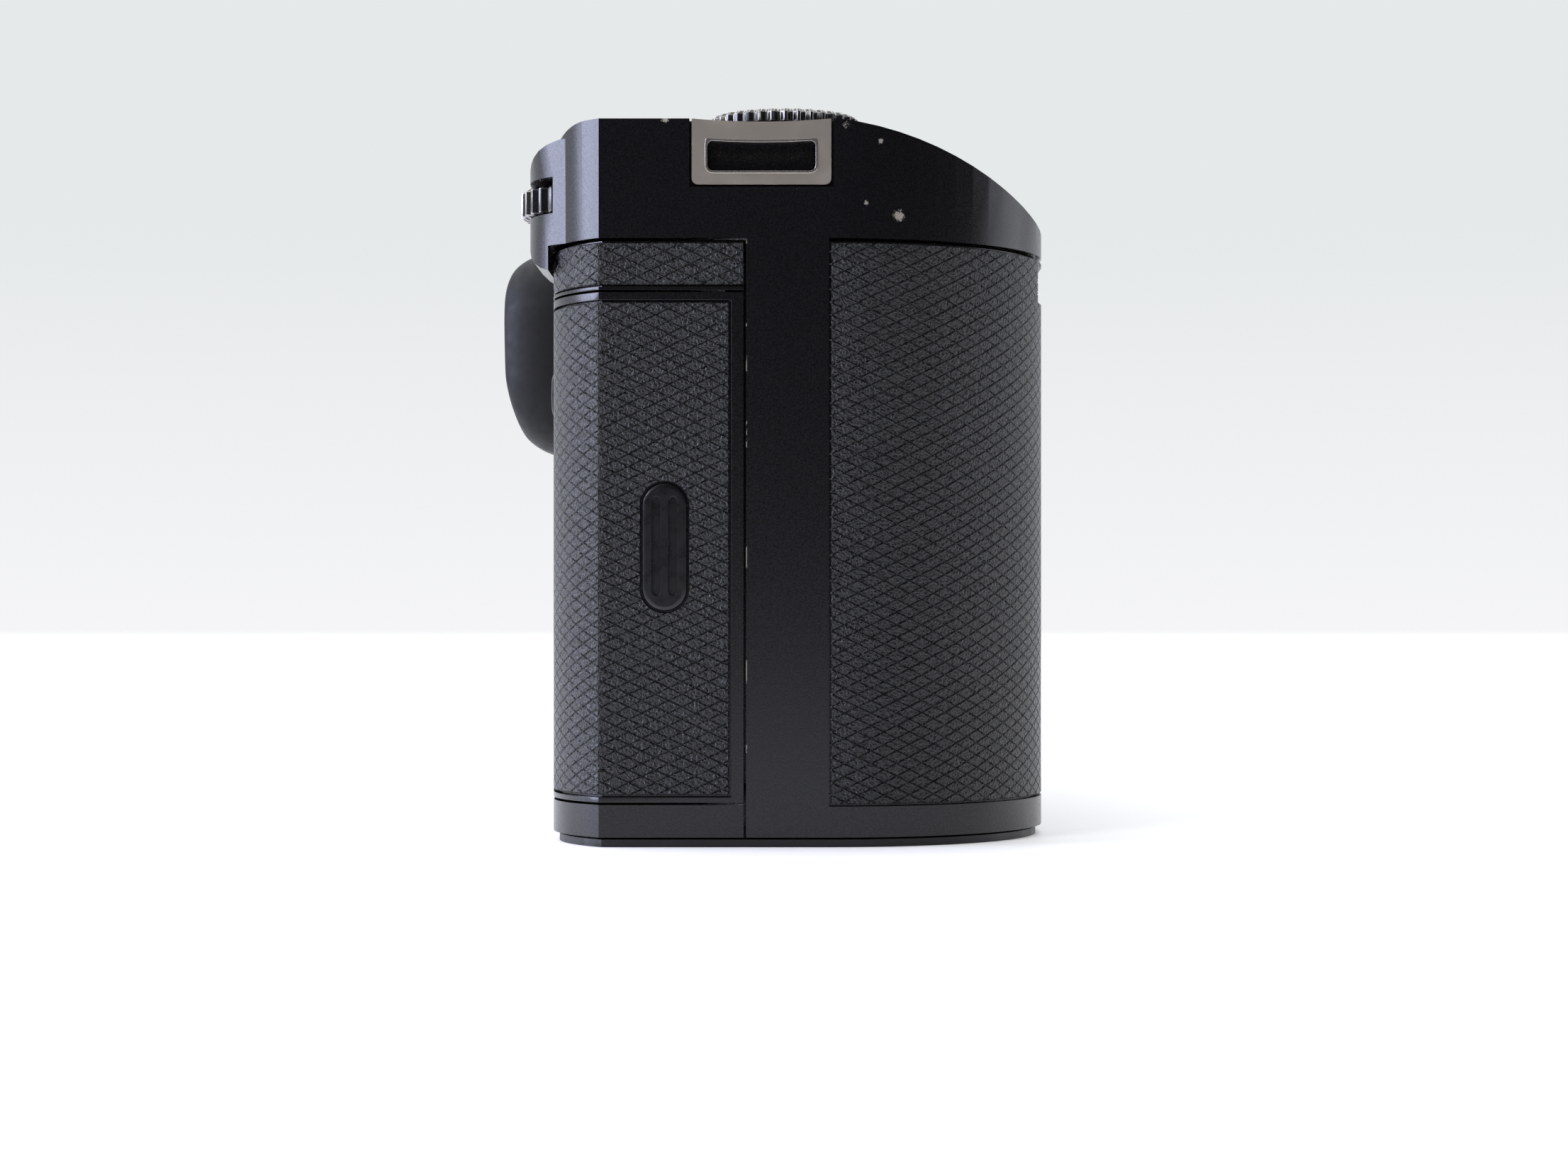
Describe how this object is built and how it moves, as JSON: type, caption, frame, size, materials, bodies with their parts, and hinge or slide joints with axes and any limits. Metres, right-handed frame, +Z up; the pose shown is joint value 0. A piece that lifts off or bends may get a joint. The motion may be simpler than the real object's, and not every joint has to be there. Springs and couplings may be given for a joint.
{
  "type": "rangefinder camera",
  "caption": "Boxy digital rangefinder-style camera body with hand grip, leather panels, flush strap lugs, top dials, rear eyecup, tilting monitor and open lens mount.",
  "frame": {"origin": "bottom centre of the whole body, eyecup included", "axes": "+Z up, lens side towards -Y, back towards +Y, hand grip at -X"},
  "size_m": [0.1606, 0.0842, 0.0965],
  "materials": {
    "painted_body": "satin black paint on die-cast alloy",
    "base_metal": "satin black paint",
    "grained_leather": "dark grey textured covering, pressed with a diamond lattice",
    "door_plastic": "moulded, fine texture",
    "bare_steel": "bright",
    "inner_plastic": "light-trap black",
    "card_plastic": "moulded",
    "nickel_plate": "worn satin nickel plate",
    "mount_steel": "turned and polished",
    "gold_contact": "plated",
    "black_metal": "black anodised",
    "inner_metal": "flat black",
    "sensor_glass": "coated cover glass on a black carrier",
    "circuit_board": "solder mask",
    "optical_glass": "coated",
    "soft_rubber": "moulded",
    "screen_plastic": "moulded",
    "screen_glass": "glossy black cover",
    "button_plastic": "moulded"
  },
  "bodies": {
    "camera_body": {"front_shell": "painted_body", "rear_shell": "painted_body", "top_cover": "painted_body", "base_plate": "base_metal", "grip_leather": "grained_leather", "front_leather": "grained_leather", "rear_leather_strip": "grained_leather", "card_slot_unit": "inner_plastic", "memory_card_1": "card_plastic", "memory_card_2": "card_plastic", "strap_lug_right": "nickel_plate", "strap_lug_left": "nickel_plate", "hot_shoe": "nickel_plate", "lens_mount_ring": "mount_steel", "lens_baffle": "inner_plastic", "mount_contacts": "gold_contact", "shutter_frame": "inner_metal", "sensor_unit": "sensor_glass", "main_board": "circuit_board", "battery": "card_plastic", "evf_housing": "inner_plastic", "evf_lens": "optical_glass", "eyecup": "soft_rubber", "rear_dial_bracket": "bare_steel", "front_dial_bracket": "bare_steel", "tripod_socket": "bare_steel"},
    "card_door_arm": {"card_door_arm": "bare_steel"},
    "card_door": {"card_door": "painted_body", "card_door_leather": "grained_leather", "card_door_pad": "door_plastic"},
    "lcd_panel": {"lcd_panel": "screen_plastic", "lcd_glass": "screen_glass"},
    "lens_release_button": {"lens_release_button": "black_metal"},
    "lens_lock_pin": {"lens_lock_pin": "bare_steel"},
    "shutter_curtain": {"shutter_curtain": "inner_metal"},
    "battery_door": {"battery_door": "base_metal"},
    "battery_latch": {"battery_latch": "base_metal"},
    "exposure_dial": {"exposure_dial": "black_metal"},
    "shutter_speed_dial": {"shutter_speed_dial": "black_metal"},
    "dial_lock_button": {"dial_lock_button": "black_metal"},
    "shutter_button": {"shutter_button": "black_metal"},
    "power_lever": {"power_lever": "black_metal"},
    "rear_dial": {"rear_dial": "black_metal"},
    "front_dial": {"front_dial": "black_metal"},
    "fn_button": {"fn_button": "black_metal"},
    "drive_button": {"drive_button": "black_metal"},
    "diopter_dial": {"diopter_dial": "black_metal"},
    "lcd_bracket": {"lcd_bracket": "inner_metal"},
    "play_button": {"play_button": "button_plastic"},
    "delete_button": {"delete_button": "button_plastic"},
    "q_button": {"q_button": "button_plastic"},
    "menu_button": {"menu_button": "button_plastic"},
    "disp_button": {"disp_button": "button_plastic"},
    "ae_lock_button": {"ae_lock_button": "button_plastic"},
    "af_button": {"af_button": "button_plastic"},
    "joystick_gimbal": {"joystick_gimbal": "bare_steel"},
    "joystick": {"joystick": "soft_rubber"},
    "focus_lever": {"focus_lever": "black_metal"},
    "connector_door_upper": {"connector_door_upper": "soft_rubber"},
    "connector_door_lower": {"connector_door_lower": "soft_rubber"}
  },
  "joints": [
    {"name": "card_door_slide", "type": "slide", "parent": "camera_body", "child": "card_door_arm", "axis": [0, 1, 0], "range_m": [0, 0.003]},
    {"name": "card_door_hinge", "type": "hinge", "parent": "card_door_arm", "child": "card_door", "pos_m": [-0.065, 0.0231, 0.0387], "axis": [0, 0, -1], "range_deg": [0, 95]},
    {"name": "lens_release_press", "type": "slide", "parent": "camera_body", "child": "lens_release_button", "axis": [0, 1, 0], "range_m": [0, 0.002], "stiffness_N_per_m": 300},
    {"name": "lens_lock_retract", "type": "slide", "parent": "camera_body", "child": "lens_lock_pin", "axis": [0, 1, 0], "range_m": [0, 0.0015]},
    {"name": "shutter_curtain_run", "type": "slide", "parent": "camera_body", "child": "shutter_curtain", "axis": [0, 0, 1], "range_m": [0, 0.0365]},
    {"name": "battery_door_hinge", "type": "hinge", "parent": "camera_body", "child": "battery_door", "pos_m": [-0.069, -0.018, 0.001], "axis": [0, 1, 0], "range_deg": [0, 90]},
    {"name": "battery_latch_slide", "type": "slide", "parent": "camera_body", "child": "battery_latch", "axis": [0, 1, 0], "range_m": [0, 0.003]},
    {"name": "exposure_dial_turn", "type": "hinge", "parent": "camera_body", "child": "exposure_dial", "pos_m": [-0.0665, -0.0067, 0.095], "axis": [0, 0, 1], "range_deg": [-105, 105]},
    {"name": "shutter_speed_dial_turn", "type": "hinge", "parent": "camera_body", "child": "shutter_speed_dial", "pos_m": [-0.0385, -0.004, 0.095], "axis": [0, 0, 1], "continuous": true},
    {"name": "dial_lock_press", "type": "slide", "parent": "shutter_speed_dial", "child": "dial_lock_button", "axis": [0, 0, -1], "range_m": [0, 0.0008], "stiffness_N_per_m": 300},
    {"name": "shutter_button_press", "type": "slide", "parent": "camera_body", "child": "shutter_button", "axis": [0, 0.4068, -0.9135], "range_m": [0, 0.0012], "stiffness_N_per_m": 300},
    {"name": "power_lever_turn", "type": "hinge", "parent": "camera_body", "child": "power_lever", "pos_m": [-0.056, -0.0292, 0.08965], "axis": [0, -0.4068, 0.9135], "range_deg": [0, 40]},
    {"name": "rear_dial_turn", "type": "hinge", "parent": "camera_body", "child": "rear_dial", "pos_m": [-0.06, 0.0179, 0.085], "axis": [0, 0, 1], "continuous": true},
    {"name": "front_dial_turn", "type": "hinge", "parent": "camera_body", "child": "front_dial", "pos_m": [-0.052, -0.0319, 0.075], "axis": [0, 0, 1], "continuous": true},
    {"name": "fn_button_press", "type": "slide", "parent": "camera_body", "child": "fn_button", "axis": [0, 0, -1], "range_m": [0, 0.0006], "stiffness_N_per_m": 300},
    {"name": "drive_button_press", "type": "slide", "parent": "camera_body", "child": "drive_button", "axis": [0, 0, -1], "range_m": [0, 0.0006], "stiffness_N_per_m": 300},
    {"name": "diopter_dial_turn", "type": "hinge", "parent": "camera_body", "child": "diopter_dial", "pos_m": [0.079, 0.0118, 0.084], "axis": [1, 0, 0], "range_deg": [-150, 150]},
    {"name": "lcd_bracket_hinge", "type": "hinge", "parent": "camera_body", "child": "lcd_bracket", "pos_m": [0.005, 0.0225, 0.0065], "axis": [-1, 0, 0], "range_deg": [0, 45]},
    {"name": "lcd_panel_hinge", "type": "hinge", "parent": "lcd_bracket", "child": "lcd_panel", "pos_m": [0.005, 0.0213, 0.0605], "axis": [1, 0, 0], "range_deg": [0, 90]},
    {"name": "play_button_press", "type": "slide", "parent": "camera_body", "child": "play_button", "axis": [0, -1, 0], "range_m": [0, 0.0006], "stiffness_N_per_m": 300},
    {"name": "delete_button_press", "type": "slide", "parent": "camera_body", "child": "delete_button", "axis": [0, -1, 0], "range_m": [0, 0.0006], "stiffness_N_per_m": 300},
    {"name": "q_button_press", "type": "slide", "parent": "camera_body", "child": "q_button", "axis": [0, -1, 0], "range_m": [0, 0.0006], "stiffness_N_per_m": 300},
    {"name": "menu_button_press", "type": "slide", "parent": "camera_body", "child": "menu_button", "axis": [0, -1, 0], "range_m": [0, 0.0006], "stiffness_N_per_m": 300},
    {"name": "disp_button_press", "type": "slide", "parent": "camera_body", "child": "disp_button", "axis": [0, -1, 0], "range_m": [0, 0.0006], "stiffness_N_per_m": 300},
    {"name": "ae_lock_button_press", "type": "slide", "parent": "camera_body", "child": "ae_lock_button", "axis": [0, -1, 0], "range_m": [0, 0.0006], "stiffness_N_per_m": 300},
    {"name": "af_button_press", "type": "slide", "parent": "camera_body", "child": "af_button", "axis": [0, -1, 0], "range_m": [0, 0.0006], "stiffness_N_per_m": 300},
    {"name": "joystick_side_tilt", "type": "hinge", "parent": "camera_body", "child": "joystick_gimbal", "pos_m": [-0.044, 0.0185, 0.065], "axis": [0, 0, 1], "range_deg": [-8, 8], "stiffness_Nm_per_rad": 0.05},
    {"name": "joystick_up_tilt", "type": "hinge", "parent": "joystick_gimbal", "child": "joystick", "pos_m": [-0.044, 0.0185, 0.065], "axis": [1, 0, 0], "range_deg": [-8, 8], "stiffness_Nm_per_rad": 0.05},
    {"name": "focus_lever_turn", "type": "hinge", "parent": "camera_body", "child": "focus_lever", "pos_m": [0.066, -0.022, 0.03], "axis": [0, 1, 0], "range_deg": [-35, 35]},
    {"name": "connector_upper_hinge", "type": "hinge", "parent": "camera_body", "child": "connector_door_upper", "pos_m": [0.07935, 0.0015, 0.0582], "axis": [0, 0, -1], "range_deg": [0, 95]},
    {"name": "connector_lower_hinge", "type": "hinge", "parent": "camera_body", "child": "connector_door_lower", "pos_m": [0.07935, 0.0015, 0.0282], "axis": [0, 0, -1], "range_deg": [0, 95]}
  ],
  "couplings": [
    {"joint": "lens_lock_retract", "follows": "lens_release_press", "ratio": 0.75}
  ]
}
